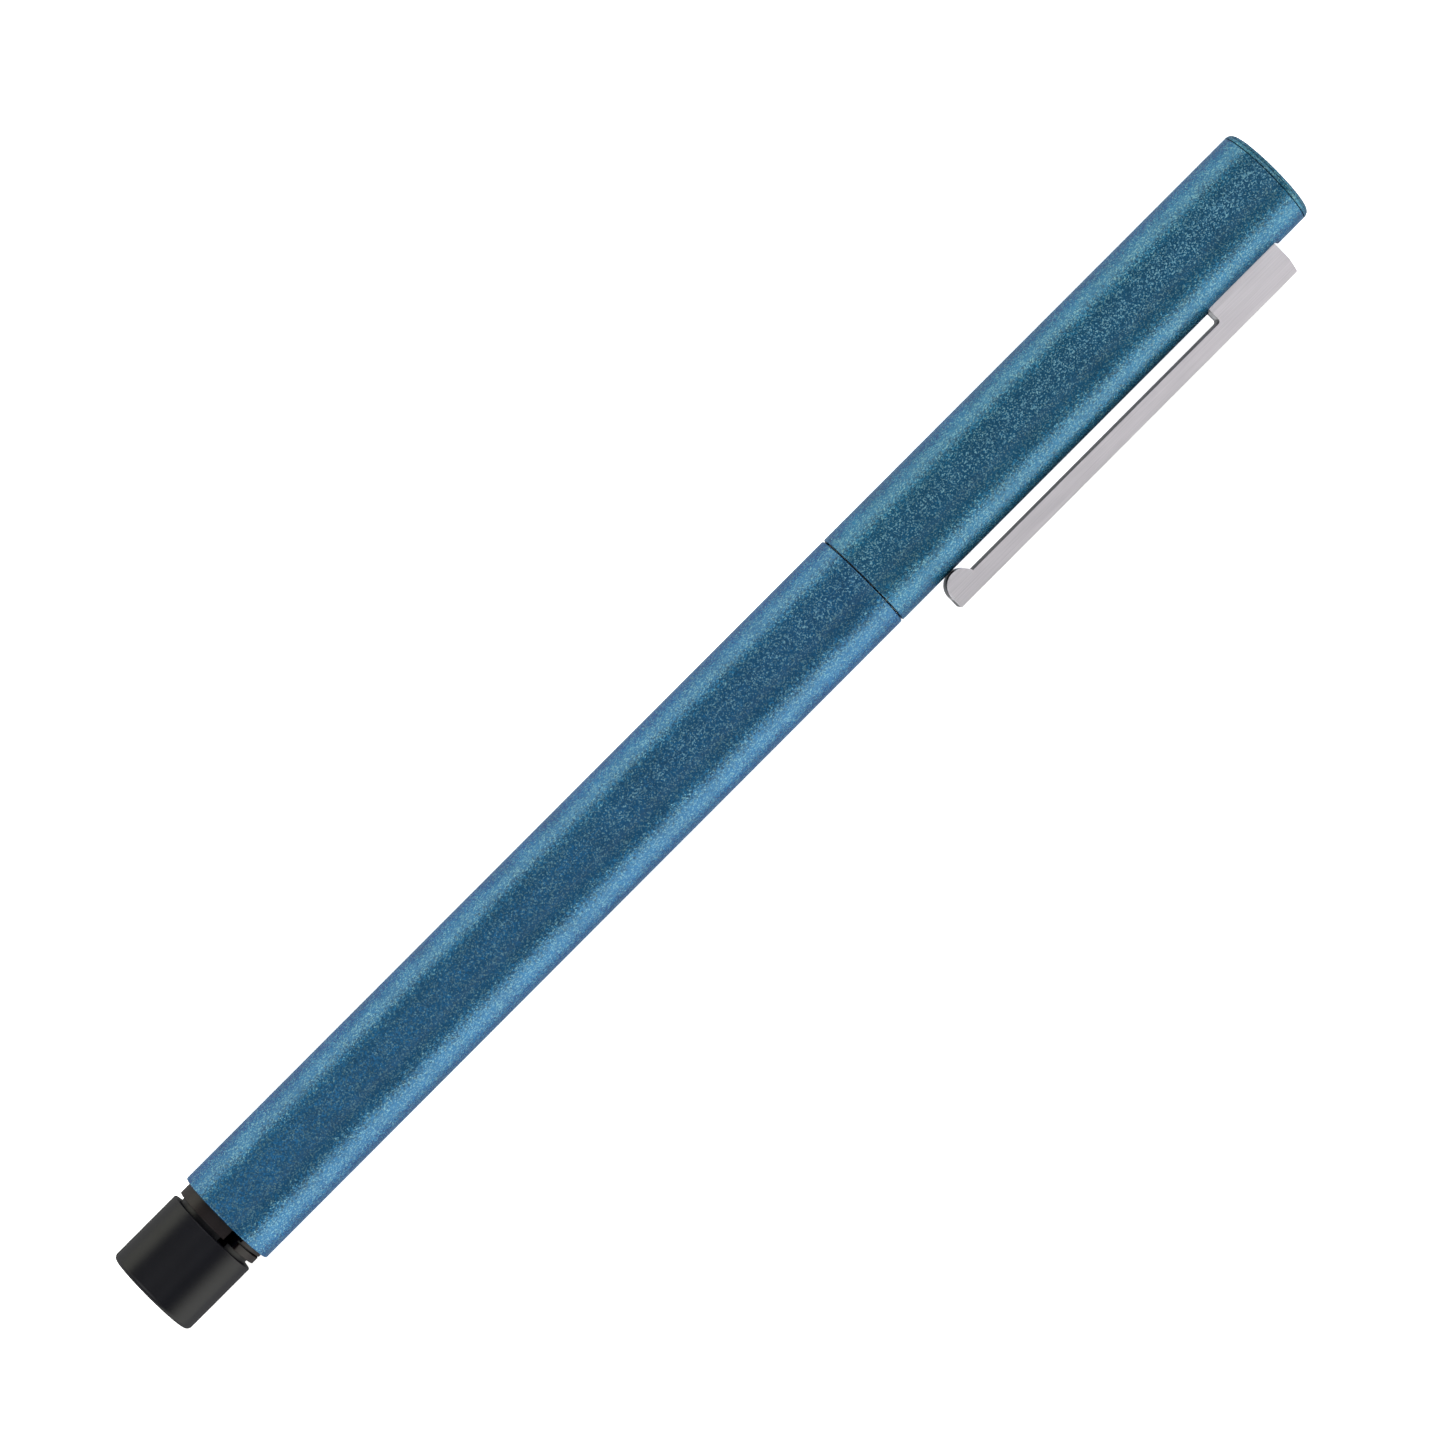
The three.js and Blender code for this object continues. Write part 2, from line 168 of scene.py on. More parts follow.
def toned_colour(tree, base, tone):
    """A plain colour made lighter or darker."""
    settings = {"operation": "SCALE", 0: base[:3]}
    return node(tree, "ShaderNodeVectorMath", settings, {"Scale": tone}).outputs["Vector"]


def new_material(name, shader):
    """A material with a Principled shader set to plain values, with its tree, its shader and coordinates."""
    material = bpy.data.materials.new(name)
    material.use_nodes = True
    tree = material.node_tree
    principled = tree.nodes["Principled BSDF"]
    for key, value in shader.items():
        principled.inputs[key].default_value = value
    place = node(tree, "ShaderNodeTexCoord").outputs["Object"]
    return material, tree, principled, place


def made_once(maker):
    """Keep the first material that a maker makes, so that like pieces share it."""
    kept = {}

    def give(*choice):
        if choice not in kept:
            kept[choice] = maker(*choice)
        return kept[choice]

    return give


@made_once
def pearl_lacquer(body_name):
    """Pearl lacquer: sprayed on drawn aluminium tube, flakes in a tinted coat under a satin clear coat.

    Each flake lies at its own slight angle, so the light breaks up into fine sparkle along the highlights.
    Real flakes are 0.05 mm across and are drawn 0.1 mm across, so that they show. The coat is faintly cloudy.
    """
    colours = bpy.context.scene.pen_colours
    body_colour = getattr(colours, body_name)
    shader = {
        "Metallic": 0.55,
        "Roughness": 0.27,
        "Specular IOR Level": 0.0,
        "Specular Tint": colours.edge_tint,
        "Coat Weight": 0.11,
        "Coat IOR": 2.2,
        "Coat Roughness": 0.25,
    }
    material, tree, principled, place = new_material("pearl_lacquer_" + body_name, shader)
    flake_width, cloud_width, most_tilt = 0.1 * MM, 3 * MM, 0.2
    flakes = node(tree, "ShaderNodeTexVoronoi", {"Scale": 1 / flake_width}, {"Vector": place})
    cloud = node(tree, "ShaderNodeTexNoise", {"Scale": 1 / cloud_width, "Detail": 3.0}, {"Vector": place})
    pick = node(tree, "ShaderNodeSeparateColor", None, {"Color": flakes.outputs["Color"]})
    flaked = node(
        tree,
        "ShaderNodeMix",
        {"data_type": "RGBA", "A": body_colour, "B": colours.flake},
        {"Factor": ranged(tree, pick.outputs["Red"], 0.6, 1.0, 0.0, 0.22)},
    )
    depth = ranged(tree, cloud.outputs["Fac"], 0.3, 0.7, 0.88, 1.1)
    clouded = node(
        tree,
        "ShaderNodeVectorMath",
        {"operation": "SCALE"},
        {"Vector": flaked.outputs["Result"], "Scale": depth},
    )
    tilt = node(
        tree,
        "ShaderNodeVectorMath",
        {"operation": "MULTIPLY_ADD", 1: [2 * most_tilt] * 3, 2: [-most_tilt] * 3},
        {0: flakes.outputs["Color"]},
    )
    normal = node(tree, "ShaderNodeNewGeometry").outputs["Normal"]
    tilted = node(tree, "ShaderNodeVectorMath", {"operation": "ADD"}, {0: tilt.outputs[0], 1: normal})
    unit = node(tree, "ShaderNodeVectorMath", {"operation": "NORMALIZE"}, {0: tilted.outputs[0]})
    tree.links.new(clouded.outputs["Vector"], principled.inputs["Base Color"])
    tree.links.new(unit.outputs[0], principled.inputs["Normal"])
    return material


@made_once
def eroded_plastic(colour_name):
    """Moulded plastic from a spark-eroded mould: a fine even grain of 0.06 mm pits that dulls its highlights.

    The shine is a weak coat of high index, so that it hardly grows towards the edges.
    """
    base = getattr(bpy.context.scene.pen_colours, colour_name)
    shader = {"Specular IOR Level": 0.0, "Coat Weight": 0.11, "Coat IOR": 2.2}
    material, tree, principled, place = new_material("eroded_plastic_" + colour_name, shader)
    grain_width, shade_width = 0.12 * MM, 4 * MM
    grain = node(tree, "ShaderNodeTexNoise", {"Scale": 1 / grain_width, "Detail": 4.0}, {"Vector": place})
    shade = node(tree, "ShaderNodeTexNoise", {"Scale": 1 / shade_width, "Detail": 2.0}, {"Vector": place})
    toned = toned_colour(tree, base, ranged(tree, shade.outputs["Fac"], 0.3, 0.7, 0.85, 1.15))
    rough = ranged(tree, grain.outputs["Fac"], 0.3, 0.7, 0.32, 0.4)
    relief = {"Strength": 0.35, "Distance": 0.01 * MM}
    pits = node(tree, "ShaderNodeBump", relief, {"Height": grain.outputs["Fac"]})
    tree.links.new(toned, principled.inputs["Base Color"])
    tree.links.new(rough, principled.inputs["Coat Roughness"])
    tree.links.new(pits.outputs["Normal"], principled.inputs["Normal"])
    tree.links.new(pits.outputs["Normal"], principled.inputs["Coat Normal"])
    return material


@made_once
def worked_metal(colour_name, along_mm, across_mm, roughness, painted_shade_edges=False):
    """Bare metal with fine tool marks: brushed along the pen, drawn as wire, or turned round the axis.

    The marks are a stretched noise, along_mm long on X and across_mm wide. Real marks are finer, 0.01 to
    0.03 mm, and are drawn as wide as they need to be to show. With the last argument set, what faces the tube
    or the tail is painted dark, a painted shade and painted reflection of the dark room, and what faces away
    from the tube is painted darker than the plate's sides, a painted shade against the lit table's reflection.
    """
    colours = bpy.context.scene.pen_colours
    name = f"worked_metal_{colour_name}_{roughness:g}"
    shader = {"Metallic": 1.0, "Roughness": roughness, "Anisotropic": 0.8}
    material, tree, principled, place = new_material(name, shader)
    normal = node(tree, "ShaderNodeNewGeometry").outputs["Normal"]
    along = (1, 0, 0)
    across = node(tree, "ShaderNodeVectorMath", {"operation": "CROSS_PRODUCT", 1: along}, {0: normal})
    scale = (1 / (along_mm * MM), 1 / (across_mm * MM), 1 / (across_mm * MM))
    stretched = node(tree, "ShaderNodeMapping", {"Scale": scale}, {"Vector": place})
    grain = {"Scale": 1.0, "Detail": 5.0, "Roughness": 0.65}
    marks = node(tree, "ShaderNodeTexNoise", grain, {"Vector": stretched.outputs["Vector"]}).outputs["Fac"]
    finish = toned_colour(tree, getattr(colours, colour_name), ranged(tree, marks, 0.35, 0.65, 0.88, 1.0))
    rough = ranged(tree, marks, 0.3, 0.7, roughness * 0.8, roughness * 1.2)
    grooves = node(tree, "ShaderNodeBump", {"Strength": 0.25, "Distance": 0.01 * MM}, {"Height": marks})
    to_tube = Vector((0, math.cos(ROLL), math.sin(ROLL)))
    to_tail = Vector((-1, 0, 0))
    # Painted shade: faces towards the tube and the tail get a dark colour for shade and dark reflection, and
    # faces away from the tube a darker grey so they do not wash out in the lit table's reflection.
    edges = ((to_tube + to_tail, colours.painted_shade_edge), (-to_tube, colours.outer_edge_painted_shade)) if painted_shade_edges else ()
    for direction, dark in edges:
        facing = direction.normalized()
        faced = tree.nodes["Texture Coordinate"].outputs["Normal"]
        towards = node(tree, "ShaderNodeVectorMath", {"operation": "DOT_PRODUCT", 1: facing}, {0: faced})
        edge = ranged(tree, towards.outputs["Value"], 0.3, 0.6, 0.0, 1.0)
        mixed = node(tree, "ShaderNodeMix", {"data_type": "RGBA", "B": dark}, {"Factor": edge, "A": finish})
        finish = mixed.outputs["Result"]
    tree.links.new(finish, principled.inputs["Base Color"])
    tree.links.new(rough, principled.inputs["Roughness"])
    tree.links.new(grooves.outputs["Normal"], principled.inputs["Normal"])
    tree.links.new(across.outputs["Vector"], principled.inputs["Tangent"])
    return material


@made_once
def translucent_plastic():
    """Blown polypropylene: clear enough to see into, milky, with faint flow marks along its length."""
    base = bpy.context.scene.pen_colours.cartridge
    shader = {"Base Color": base, "Transmission Weight": 0.75, "IOR": 1.49, "Roughness": 0.22}
    material, tree, principled, place = new_material("translucent_plastic", shader)
    marks_per_metre = (150, 1200, 1200)
    stretched = node(tree, "ShaderNodeMapping", {"Scale": marks_per_metre}, {"Vector": place})
    flow = node(tree, "ShaderNodeTexNoise", {"Scale": 1.0}, {"Vector": stretched.outputs["Vector"]})
    rough = ranged(tree, flow.outputs["Fac"], 0.3, 0.7, 0.16, 0.3)
    tree.links.new(rough, principled.inputs["Roughness"])
    return material


# ---- modelling -----------------------------------------------------------------------------------
def clear_selection():
    if bpy.context.mode != "OBJECT":
        bpy.ops.object.mode_set(mode="OBJECT")
    bpy.ops.object.select_all(action="DESELECT")


def select_only(piece):
    clear_selection()
    piece.select_set(True)
    bpy.context.view_layer.objects.active = piece


def open_mesh(piece, kind):
    """Go into edit mode on a piece with nothing selected, and give its mesh."""
    select_only(piece)
    bpy.ops.object.mode_set(mode="EDIT")
    bpy.ops.mesh.select_mode(type=kind)
    bpy.ops.mesh.select_all(action="DESELECT")
    return bmesh.from_edit_mesh(piece.data)


def bake_place():
    """Put the selected piece's place, turn and size into its mesh."""
    bpy.ops.object.transform_apply(location=True, rotation=True, scale=True)


def span(cad_node):
    """Where a CAD node starts and ends along the pen."""
    low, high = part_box(cad_node)
    return low.x, high.x


def radius_of(point):
    return math.hypot(point.y, point.z)


def turned(name, profile, sides=None):
    """Turn a piece about the pen's axis from [along, radius] stations, outside first.

    A circle is extruded and resized from station to station. A first radius of 0 closes the low end, a last
    radius of 0 closes the bore, and otherwise the last ring is joined to the first.
    """
    sides = sides or bpy.context.scene.pen_sizes.sides
    filled = profile[0][1] == 0
    stations = [station for station in profile if station[1] > 0]
    if not filled:
        stations.append(stations[0])
    along, radius = stations[0]
    clear_selection()
    bpy.ops.mesh.primitive_circle_add(
        vertices=sides,
        radius=radius,
        fill_type="NGON" if filled else "NOTHING",
        location=(along, 0, 0),
        rotation=(0, -QUARTER_TURN, 0),
    )
    piece = bpy.context.object
    piece.name = piece.data.name = name
    bake_place()
    bpy.ops.object.mode_set(mode="EDIT")
    bpy.ops.mesh.select_mode(type="FACE" if filled else "EDGE")
    bpy.ops.mesh.select_all(action="SELECT")
    for reach, width in stations[1:]:
        step = {"value": (reach - along, 0, 0)}
        bpy.ops.mesh.extrude_region_move(TRANSFORM_OT_translate=step)
        growth = width / radius
        bpy.ops.transform.resize(value=(1, growth, growth), center_override=(reach, 0, 0))
        along, radius = reach, width
    tidy_mesh()
    return piece


def sleeve(start, end, bore, outer):
    """The stations of a plain tube or ring."""
    return [(start, bore), (start, outer), (end, outer), (end, bore)]


def rod(start, end, outer):
    """The stations of a plain solid rod."""
    return [(start, 0), (start, outer), (end, outer), (end, 0)]


def tidy_mesh():
    """Merge what meets, turn the faces outwards and leave edit mode."""
    bpy.ops.mesh.select_all(action="SELECT")
    bpy.ops.mesh.remove_doubles(threshold=0.001 * MM)
    bpy.ops.mesh.normals_make_consistent(inside=False)
    bpy.ops.object.mode_set(mode="OBJECT")


def round_edges(piece, size, segments=3, where=None):
    """Round the piece's sharp edges, or only those whose middle passes a test of place."""
    mesh = open_mesh(piece, "EDGE")
    for edge in mesh.edges:
        middle = (edge.verts[0].co + edge.verts[1].co) / 2
        is_sharp = len(edge.link_faces) == 2 and edge.calc_face_angle() > SHARP
        if is_sharp and (where is None or where(middle)):
            edge.select_set(True)
    bmesh.update_edit_mesh(piece.data)
    bpy.ops.mesh.bevel(offset=size, segments=segments, affect="EDGES", clamp_overlap=True)
    bpy.ops.object.mode_set(mode="OBJECT")


def box_cutter(low, high, turn=0.0):
    """A box between two corners, turned about the pen's axis."""
    clear_selection()
    bpy.ops.mesh.primitive_cube_add(size=1, location=(Vector(low) + Vector(high)) / 2)
    cutter = bpy.context.object
    cutter.scale = Vector(high) - Vector(low)
    bake_place()
    cutter.rotation_euler.x = turn
    bake_place()
    return cutter


def cut_away(piece, cutter):
    """Take the cutter's shape out of the piece, and remove the cutter."""
    select_only(piece)
    cut = piece.modifiers.new("cut", "BOOLEAN")
    cut.operation = "DIFFERENCE"
    cut.solver = "EXACT"
    cut.object = cutter
    bpy.ops.object.modifier_apply(modifier=cut.name)
    bpy.data.objects.remove(cutter, do_unlink=True)


def drill(radius, depth, location, rotation=(0, 0, 0)):
    """A cylinder along Z, or along what its rotation makes of Z."""
    clear_selection()
    bpy.ops.mesh.primitive_cylinder_add(
        vertices=48,
        radius=radius,
        depth=depth,
        location=location,
        rotation=rotation,
    )
    bake_place()
    return bpy.context.object


def pivot_rod(radius, rod_length):
    """A rod through the clip's pivot, across the pen."""
    return drill(radius, rod_length, (PIVOT.x, PIVOT_DEPTH, 0))


def coil(name, start, end, radius, wire, turns):
    """A round wire wound about X from start to end, closed at both ends."""
    clear_selection()
    bpy.ops.mesh.primitive_circle_add(
        vertices=10,
        radius=wire,
        location=(start + wire, 0, radius),
        rotation=(QUARTER_TURN, 0, 0),
    )
    piece = bpy.context.object
    piece.name = piece.data.name = name
    bake_place()
    winding = piece.modifiers.new("winding", "SCREW")
    winding.axis = "X"
    winding.angle = turns * 2 * math.pi
    winding.screw_offset = end - start - 2 * wire
    winding.steps = winding.render_steps = int(turns * 32)
    bpy.ops.object.modifier_apply(modifier=winding.name)
    bpy.ops.object.mode_set(mode="EDIT")
    bpy.ops.mesh.select_mode(type="EDGE")
    bpy.ops.mesh.select_all(action="SELECT")
    bpy.ops.mesh.fill_holes(sides=0)
    tidy_mesh()
    return piece


def settle(piece, body, cad_node, material):
    """Smooth a finished piece, roll it on to the clip's side, set it on the axis and hand it to the frame."""
    select_only(piece)
    piece.rotation_euler.x = ROLL
    piece.location = (0, AXIS_Y, AXIS_Z)
    bake_place()
    bpy.ops.object.shade_smooth_by_angle(angle=math.radians(40))
    even = piece.modifiers.new("even", "WEIGHTED_NORMAL")
    even.keep_sharp = True
    bpy.ops.object.modifier_apply(modifier=even.name)
    piece.data.materials.clear()
    piece.data.materials.append(material)
    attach(piece, body)
    if cad_node:
        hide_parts(cad_node)


def black():
    return eroded_plastic("black")


def brushed_steel():
    # The True paints shade on the clip's edges.
    return worked_metal("steel", 6.0, 0.09, 0.42, True)


def spring_steel():
    return worked_metal("spring", 0.5, 0.08, 0.26)


def turned_brass():
    return worked_metal("brass", 0.06, 3.0, 0.25)


class PenOperator(bpy.types.Operator):
    """What the pen's operators share."""

    bl_options = {"REGISTER", "UNDO"}


# ---- barrel and tail -----------------------------------------------------------------------------
class PEN_OT_barrel_tube(PenOperator):
    """Make the painted barrel: a thin drawn tube with a softly rounded edge at both ends"""

    bl_idname = "pen.barrel_tube"
    bl_label = "Barrel tube"

    def execute(self, context):
        sizes = context.scene.pen_sizes
        start, end = span("barrel_tube")
        outer, bore = sizes.tube_radius, sizes.barrel_bore
        piece = turned("barrel", sleeve(start, end, bore, outer))
        round_edges(piece, 0.15 * MM, 5, lambda p: radius_of(p) > (outer + bore) / 2)
        round_edges(piece, 0.04 * MM, 2, lambda p: radius_of(p) < (outer + bore) / 2)
        settle(piece, "barrel", "barrel_tube", pearl_lacquer("paint"))
        return {"FINISHED"}


class PEN_OT_end_plug(PenOperator):
    """Make the black plug in the tail: a round-cornered head and a hollow neck with a notch in it"""

    bl_idname = "pen.end_plug"
    bl_label = "End plug"

    def execute(self, context):
        sizes = context.scene.pen_sizes
        start, end = span("end_plug")
        head, neck = sizes.plug_radius, sizes.neck_radius
        face = start + sizes.plug_head
        bore, floor = 2.4 * MM, start + 2 * MM
        profile = [
            (start, 0),
            (start, head),
            (face, head),
            (face, neck),
            (end, neck),
            (end, bore),
            (floor, bore),
            (floor, 0),
        ]
        piece = turned("tail_plug", profile)
        round_edges(piece, 0.45 * MM, 8, lambda p: p.x < start + 0.01 * MM)
        round_edges(piece, 0.1 * MM, 3, lambda p: radius_of(p) > head - 0.1 * MM)
        collar = span("snap_collar")[0]
        in_the_groove = (face, collar + 1 * MM, 0.42 * MM, math.radians(105))
        under_the_slot = (collar, collar + 3 * MM, 0.6 * MM, COLLAR_SLOT_TURN)
        for low, high, half, turn in (in_the_groove, under_the_slot):
            cut_away(piece, box_cutter((low, 1 * MM, -half), (high, neck + 1 * MM, half), turn))
        settle(piece, "barrel", "end_plug", black())
        return {"FINISHED"}


class PEN_OT_snap_collar(PenOperator):
    """Make the split collar behind the plug, with its slot and the slit that frees a springy tongue"""

    bl_idname = "pen.snap_collar"
    bl_label = "Snap collar"

    def execute(self, context):
        sizes = context.scene.pen_sizes
        start, end = span("snap_collar")
        outer, bore = sizes.barrel_bore - FIT, sizes.neck_radius + FIT
        piece = turned("split_collar", sleeve(start, end, bore, outer))
        round_edges(piece, 0.07 * MM, 3, lambda p: radius_of(p) > (outer + bore) / 2)
        half = 0.67 * MM
        slot = box_cutter((start - 1 * MM, 1 * MM, -half), (end + 1 * MM, 6 * MM, half), COLLAR_SLOT_TURN)
        cut_away(piece, slot)
        cut_away(piece, self.slit_cutter(start + 0.65 * MM, 0.17 * MM, COLLAR_SLOT_TURN))
        round_edges(piece, 0.03 * MM, 2)
        settle(piece, "barrel", "snap_collar", eroded_plastic("collar"))
        return {"FINISHED"}

    def slit_cutter(self, start, width, turn):
        """A thin sector of a ring, from the slot's middle round towards the clip."""
        clear_selection()
        bpy.ops.mesh.primitive_plane_add(size=1, location=(start + width / 2, 4.5 * MM, 0))
        cutter = bpy.context.object
        cutter.scale = (width, 3 * MM, 1)
        bake_place()
        cutter.rotation_euler.x = turn
        bake_place()
        bpy.ops.object.mode_set(mode="EDIT")
        bpy.ops.mesh.select_all(action="SELECT")
        bpy.ops.mesh.spin(steps=40, angle=math.radians(75), center=(0, 0, 0), axis=(-1, 0, 0))
        tidy_mesh()
        return cutter


class PEN_OT_barrel_bush(PenOperator):
    """Make the brass bush that the grip section screws into"""

    bl_idname = "pen.barrel_bush"
    bl_label = "Barrel bush"

    def execute(self, context):
        start, end = span("barrel_bush")
        outer, bore = context.scene.pen_sizes.barrel_bore - FIT, 3.55 * MM
        piece = turned("front_bush", sleeve(start, end, bore, outer), 96)
        round_edges(piece, 0.12 * MM, 2)
        settle(piece, "barrel", "barrel_bush", turned_brass())
        return {"FINISHED"}


# ---- grip section and drawing point --------------------------------------------------------------
class PEN_OT_width_ring(PenOperator):
    """Make the ring between the barrel and the grip, whose colour stands for the line width"""

    bl_idname = "pen.width_ring"
    bl_label = "Line width ring"

    def execute(self, context):
        start, end = span("line_width_ring")
        bore, outer = 3.5 * MM, 4.1 * MM
        piece = turned("width_ring", sleeve(start, end, bore, outer), 96)
        round_edges(piece, 0.12 * MM)
        settle(piece, "width_ring", "line_width_ring", eroded_plastic("ivory"))
        return {"FINISHED"}


class PEN_OT_grip_section(PenOperator):
    """Make the grip: a threaded spigot, the shoulder that the cap slides over and a tapering, ribbed grip"""

    bl_idname = "pen.grip_section"
    bl_label = "Grip section"

    def execute(self, context):
        sizes = context.scene.pen_sizes
        start, end = span("grip_section")
        groove, groove_end = span("cap_snap_ring")
        gap = 0.08 * MM
        ring_start, ring_end = span("line_width_ring")
        shoulder = sizes.cap_bore - FIT
        bore, spigot, neck, grip = 2.75 * MM, 3.22 * MM, 3.4 * MM, 3.85 * MM
        shoulder_end = groove_end + 1.68 * MM
        taper = end - 4.6 * MM
        profile = [
            (start, bore),
            (start, spigot),
            (ring_start - 0.5 * MM, spigot),
            (ring_start - 0.5 * MM, neck),
            (ring_end + gap, neck),
            (ring_end + gap, shoulder),
            (groove - gap, shoulder),
            (groove - gap, grip),
            (groove_end + gap, grip),
            (groove_end + gap, shoulder),
            (shoulder_end - 0.4 * MM, shoulder),
            (shoulder_end, grip),
        ]
        rib_start, rib_pitch, rib_depth = shoulder_end + 1.2 * MM, 0.62 * MM, 0.16 * MM
        rib_count, taper_steps = 9, 6
        for rib in range(rib_count):
            low = rib_start + rib * rib_pitch
            profile += [
                (low, grip),
                (low + rib_pitch * 0.2, grip - rib_depth),
                (low + rib_pitch * 0.45, grip - rib_depth),
                (low + rib_pitch * 0.65, grip),
            ]
        for step in range(taper_steps + 1):
            share = step / taper_steps
            profile.append((taper + share * (end - taper), grip - 0.75 * MM * share**1.6))
        profile.append((end, bore))
        piece = turned("grip", profile)
        round_edges(piece, 0.05 * MM, 2, lambda p: radius_of(p) > neck)
        settle(piece, "section", "grip_section", black())
        self.make_thread(start, ring_start - 0.55 * MM, spigot)
        return {"FINISHED"}

    def make_thread(self, start, end, root):
        """The thread on the spigot, a low ridge wound at the pitch that the section travels at."""
        pitch, crest = 1.25 * MM, 3.48 * MM
        ridge = (crest - root) / 2
        turns = (end - start - 2 * ridge) / pitch
        piece = coil("grip_thread", start, end, root + ridge * 0.9, ridge * 1.1, turns)
        settle(piece, "section", None, black())


class PEN_OT_snap_ring(PenOperator):
    """Make the split spring ring in the shoulder's groove, which grips the cap"""

    bl_idname = "pen.snap_ring"
    bl_label = "Cap snap ring"

    def execute(self, context):
        start, end = span("cap_snap_ring")
        bore, outer = 3.9 * MM, context.scene.pen_sizes.cap_bore - 0.03 * MM
        piece = turned("snap_ring", sleeve(start, end, bore, outer))
        gap = 0.6 * MM
        cut_away(piece, box_cutter((start - gap, 3 * MM, -gap), (end + gap, 6 * MM, gap)))
        round_edges(piece, 0.12 * MM)
        settle(piece, "snap_ring", "cap_snap_ring", spring_steel())
        return {"FINISHED"}


class PEN_OT_drawing_point(PenOperator):
    """Make the drawing point: its body, retainer, seal ring, cone and stepped tube"""

    bl_idname = "pen.drawing_point"
    bl_label = "Drawing point"

    def execute(self, context):
        self.make_body()
        self.make_retainer()
        self.make_seal_ring()
        self.make_cone()
        self.make_tube()
        return {"FINISHED"}

    def make_body(self):
        start, end = span("nib_body")
        outer, chamber, wireway = 2.7 * MM, 1.35 * MM, 0.4 * MM
        floor = end - 5.2 * MM
        profile = [
            (start, chamber),
            (start, outer),
            (end, outer),
            (end, wireway),
            (floor, wireway),
            (floor, chamber),
        ]
        piece = turned("point_body", profile, 64)
        round_edges(piece, 0.08 * MM, 2)
        settle(piece, "section", "nib_body", eroded_plastic("ivory"))

    def make_retainer(self):
        start, end = span("nib_retainer")
        inkway, spigot, plug = 0.5 * MM, 1.9 * MM, 1.3 * MM
        flange = end - 2.1 * MM
        profile = [
            (start, inkway),
            (start, spigot - 0.3 * MM),
            (start + 0.6 * MM, spigot),
            (flange, spigot),
            (flange, plug),
            (end, plug),
            (end, inkway),
        ]
        piece = turned("point_retainer", profile, 64)
        round_edges(piece, 0.06 * MM, 2)
        settle(piece, "section", "nib_retainer", eroded_plastic("ivory"))

    def make_seal_ring(self):
        start, end = span("nib_seal_ring")
        bore, outer = 2.2 * MM, 2.9 * MM
        piece = turned("point_seal", sleeve(start, end, bore, outer), 96)
        round_edges(piece, 0.12 * MM)
        settle(piece, "section", "nib_seal_ring", eroded_plastic("rubber"))

    def make_cone(self):
        start, end = span("nib_cone")
        bore, base, nose, steps = 0.77 * MM, 3.02 * MM, 1.05 * MM, 10
        flat = start + 0.9 * MM
        profile = [(start, bore), (start, base), (flat, base)]
        for step in range(1, steps + 1):
            share = step / steps
            sag = 0.22 * MM * math.sin(math.pi * share)
            profile.append((flat + share * (end - flat), base + (nose - base) * share - sag))
        profile.append((end, bore))
        piece = turned("point_cone", profile)
        round_edges(piece, 0.1 * MM)
        settle(piece, "section", "nib_cone", worked_metal("steel", 0.06, 3.0, 0.2))

    def make_tube(self):
        start, end = span("nib_tube")
        bore, stem, point = 0.18 * MM, 0.72 * MM, 0.35 * MM
        step = end - 3.3 * MM
        profile = [
            (start, bore),
            (start, stem),
            (step, stem),
            (step + 0.3 * MM, point),
            (end, point),
            (end, bore),
        ]
        piece = turned("point_tube", profile, 64)
        round_edges(piece, 0.04 * MM)
        settle(piece, "section", "nib_tube", worked_metal("steel", 0.5, 0.08, 0.18))


class PEN_OT_weight(PenOperator):
    """Make the drop weight and the fine wire that it pushes through the drawing tube"""

    bl_idname = "pen.weight"
    bl_label = "Drop weight and wire"

    def execute(self, context):
        start, end = span("drop_weight")
        bore, outer = 0.16 * MM, 1.2 * MM
        waist, waist_half = (start + end) / 2, 0.8 * MM
        profile = [
            (start, bore),
            (start, outer),
            (waist - waist_half, outer),
            (waist - waist_half, outer - 0.25 * MM),
            (waist + waist_half, outer - 0.25 * MM),
            (waist + waist_half, outer),
            (end, outer),
            (end, bore),
        ]
        piece = turned("weight", profile, 64)
        round_edges(piece, 0.06 * MM, 2, lambda p: radius_of(p) > 2 * bore)
        settle(piece, "weight", "drop_weight", turned_brass())
        wire = turned("wire", rod(*span("cleaning_wire"), 0.1 * MM), 24)
        round_edges(wire, 0.03 * MM, 2)
        settle(wire, "weight", "cleaning_wire", spring_steel())
        return {"FINISHED"}


class PEN_OT_cartridge(PenOperator):
    """Make the translucent ink cartridge, with its shoulder and the neck that pushes on to the point"""

    bl_idname = "pen.cartridge"
    bl_label = "Ink cartridge"

    def execute(self, context):
        start, end = span("ink_cartridge")
        outer, neck, bore, wall = 3.38 * MM, 2.62 * MM, 1.95 * MM, 0.4 * MM
        shoulder = end - 10.7 * MM
        profile = [
            (start, 0),
            (start, outer),
            (shoulder, outer),
            (shoulder + 1 * MM, neck),
            (end, neck),
            (end, bore),
            (shoulder + 1 * MM, bore),
            (shoulder, outer - wall),
            (start + 1 * MM, outer - wall),
            (start + 1 * MM, 0),
        ]
        piece = turned("cartridge", profile, 96)
        round_edges(piece, 0.6 * MM, 5, lambda p: p.x < start + 0.01 * MM)
        round_edges(piece, 0.15 * MM, 2)
        settle(piece, "cartridge", "ink_cartridge", translucent_plastic())
        return {"FINISHED"}


